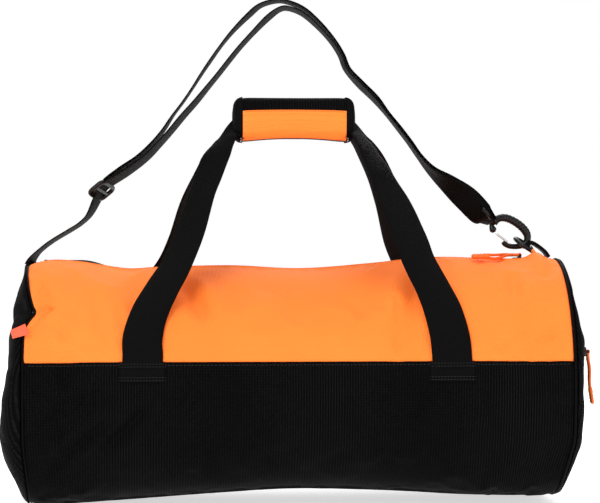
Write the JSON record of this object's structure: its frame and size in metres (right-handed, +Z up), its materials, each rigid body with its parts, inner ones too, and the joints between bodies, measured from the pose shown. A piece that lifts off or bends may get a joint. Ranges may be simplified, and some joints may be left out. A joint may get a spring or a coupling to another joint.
{
  "type": "duffel bag",
  "caption": "Barrel sports duffel bag in orange and black fabric with two carry handles joined by a padded grip, a clip-on shoulder strap, a top zip and a zipped end pocket.",
  "frame": {"origin": "middle of the flat base, on the surface that the bag rests on", "axes": "+X along the barrel towards the end with the zipped pocket, -Y is the front, +Z up"},
  "size_m": [0.5773, 0.2436, 0.5015],
  "materials": {
    "orange_fabric": "fine ribbed polyester, matt with a slight sheen",
    "black_fabric": "small-pattern dobby polyester, matt",
    "black_webbing": "woven polypropylene webbing",
    "zip_tape": "woven zip tape",
    "zip_teeth": "nylon coil",
    "black_metal": "black painted die casting",
    "orange_cord": "round braided cord",
    "orange_moulding": "soft moulded plastic",
    "coral_ribbon": "woven ribbon",
    "foam": "closed-cell foam",
    "board": "semi-rigid sheet",
    "lining": "thin coated lining",
    "hook_tape": "hook-and-loop tape",
    "black_plastic": "moulded acetal, slightly glossy",
    "spring_wire": "bright spring wire"
  },
  "bodies": {
    "bag": {"front_upper_panel": "orange_fabric", "rear_upper_panel": "orange_fabric", "base_panel": "black_fabric", "base_stiffener_board": "board", "left_seam_binding": "zip_tape", "right_seam_binding": "zip_tape", "left_end_panel": "black_fabric", "left_end_piping": "black_fabric", "right_end_panel": "black_fabric", "right_end_piping": "black_fabric", "end_pocket_lining": "lining", "left_ribbon_tab": "coral_ribbon", "main_zip_tape_front": "zip_tape", "main_zip_teeth_front": "zip_teeth", "main_zip_tape_rear": "zip_tape", "main_zip_teeth_rear": "zip_teeth", "main_zip_end_stops": "black_metal", "pocket_zip_tape_lower": "zip_tape", "pocket_zip_teeth_lower": "zip_teeth", "pocket_zip_tape_upper": "zip_tape", "pocket_zip_teeth_upper": "zip_teeth", "pocket_zip_end_stops": "black_metal", "right_zip_end_tab": "coral_ribbon", "front_left_anchor_patch": "black_webbing", "front_right_anchor_patch": "black_webbing", "rear_left_anchor_patch": "black_webbing", "rear_right_anchor_patch": "black_webbing", "right_d_ring_tab": "black_webbing", "left_strap_anchor": "black_webbing"},
    "main_slider": {"main_zip_slider": "black_metal"},
    "main_pull": {"main_zip_pull_connector": "orange_moulding", "main_zip_pull_cord": "orange_cord", "main_zip_pull_grip": "orange_moulding"},
    "pocket_slider": {"pocket_zip_slider": "black_metal"},
    "pocket_pull": {"pocket_zip_pull_connector": "orange_moulding", "pocket_zip_pull_cord": "orange_cord", "pocket_zip_pull_grip": "orange_moulding"},
    "front_handle": {"front_handle_webbing": "black_webbing", "front_grip_cover": "black_fabric", "front_grip_foam": "foam", "front_grip_closing_strip": "hook_tape", "grip_orange_panel": "orange_fabric"},
    "rear_handle": {"rear_handle_webbing": "black_webbing", "rear_grip_cover": "black_fabric", "rear_grip_foam": "foam", "rear_grip_closing_strip": "hook_tape"},
    "shoulder_strap": {"shoulder_strap_webbing": "black_webbing", "right_hook_swivel_loop": "black_plastic"},
    "adjuster": {"strap_adjuster": "black_plastic"},
    "right_hook": {"right_hook_body": "black_plastic"},
    "hook_gate": {"right_hook_gate": "spring_wire"},
    "d_ring": {"right_d_ring": "black_plastic"}
  },
  "joints": [
    {"name": "main_zip_slide", "type": "slide", "parent": "bag", "child": "main_slider", "axis": [-1, 0, 0], "range_m": [0, 0.44]},
    {"name": "main_zip_pull_flip", "type": "hinge", "parent": "main_slider", "child": "main_pull", "pos_m": [0.228, 0.003, 0.2448], "axis": [0, 1, 0], "range_deg": [0, 140]},
    {"name": "pocket_zip_slide", "type": "slide", "parent": "bag", "child": "pocket_slider", "axis": [0, 1, 0], "range_m": [0, 0.095]},
    {"name": "pocket_zip_pull_swing", "type": "hinge", "parent": "pocket_slider", "child": "pocket_pull", "pos_m": [0.2883, -0.048, 0.15], "axis": [0, -1, 0], "range_deg": [0, 150]},
    {"name": "front_handle_swing", "type": "hinge", "parent": "bag", "child": "front_handle", "pos_m": [0, -0.1213, 0.138], "axis": [1, 0, 0], "range_deg": [0, 140]},
    {"name": "rear_handle_swing", "type": "hinge", "parent": "bag", "child": "rear_handle", "pos_m": [0, 0.1213, 0.138], "axis": [-1, 0, 0], "range_deg": [0, 140]},
    {"name": "shoulder_strap_swing", "type": "hinge", "parent": "bag", "child": "shoulder_strap", "pos_m": [0.229, 0.026, 0.26], "axis": [-0.9965, 0.0729, -0.0405], "range_deg": [-15, 15]},
    {"name": "strap_adjuster_slide", "type": "slide", "parent": "shoulder_strap", "child": "adjuster", "axis": [0.7554, -0.1647, 0.6343], "range_m": [0, 0.045]},
    {"name": "right_hook_swivel", "type": "hinge", "parent": "shoulder_strap", "child": "right_hook", "pos_m": [0.2215, 0.02568, 0.2645], "axis": [-0.8461, -0.0407, 0.5314], "range_deg": [-10, 10]},
    {"name": "hook_gate_opening", "type": "hinge", "parent": "right_hook", "child": "hook_gate", "pos_m": [0.20775, 0.02628, 0.26617], "axis": [-0.0646, -0.9819, -0.178], "range_deg": [0, 20], "stiffness_Nm_per_rad": 0.02, "springref_deg": -17.19},
    {"name": "d_ring_tilt", "type": "hinge", "parent": "bag", "child": "d_ring", "pos_m": [0.24409, 0.02676, 0.25031], "axis": [-0.0646, -0.9819, -0.178], "range_deg": [-4, 4]}
  ]
}
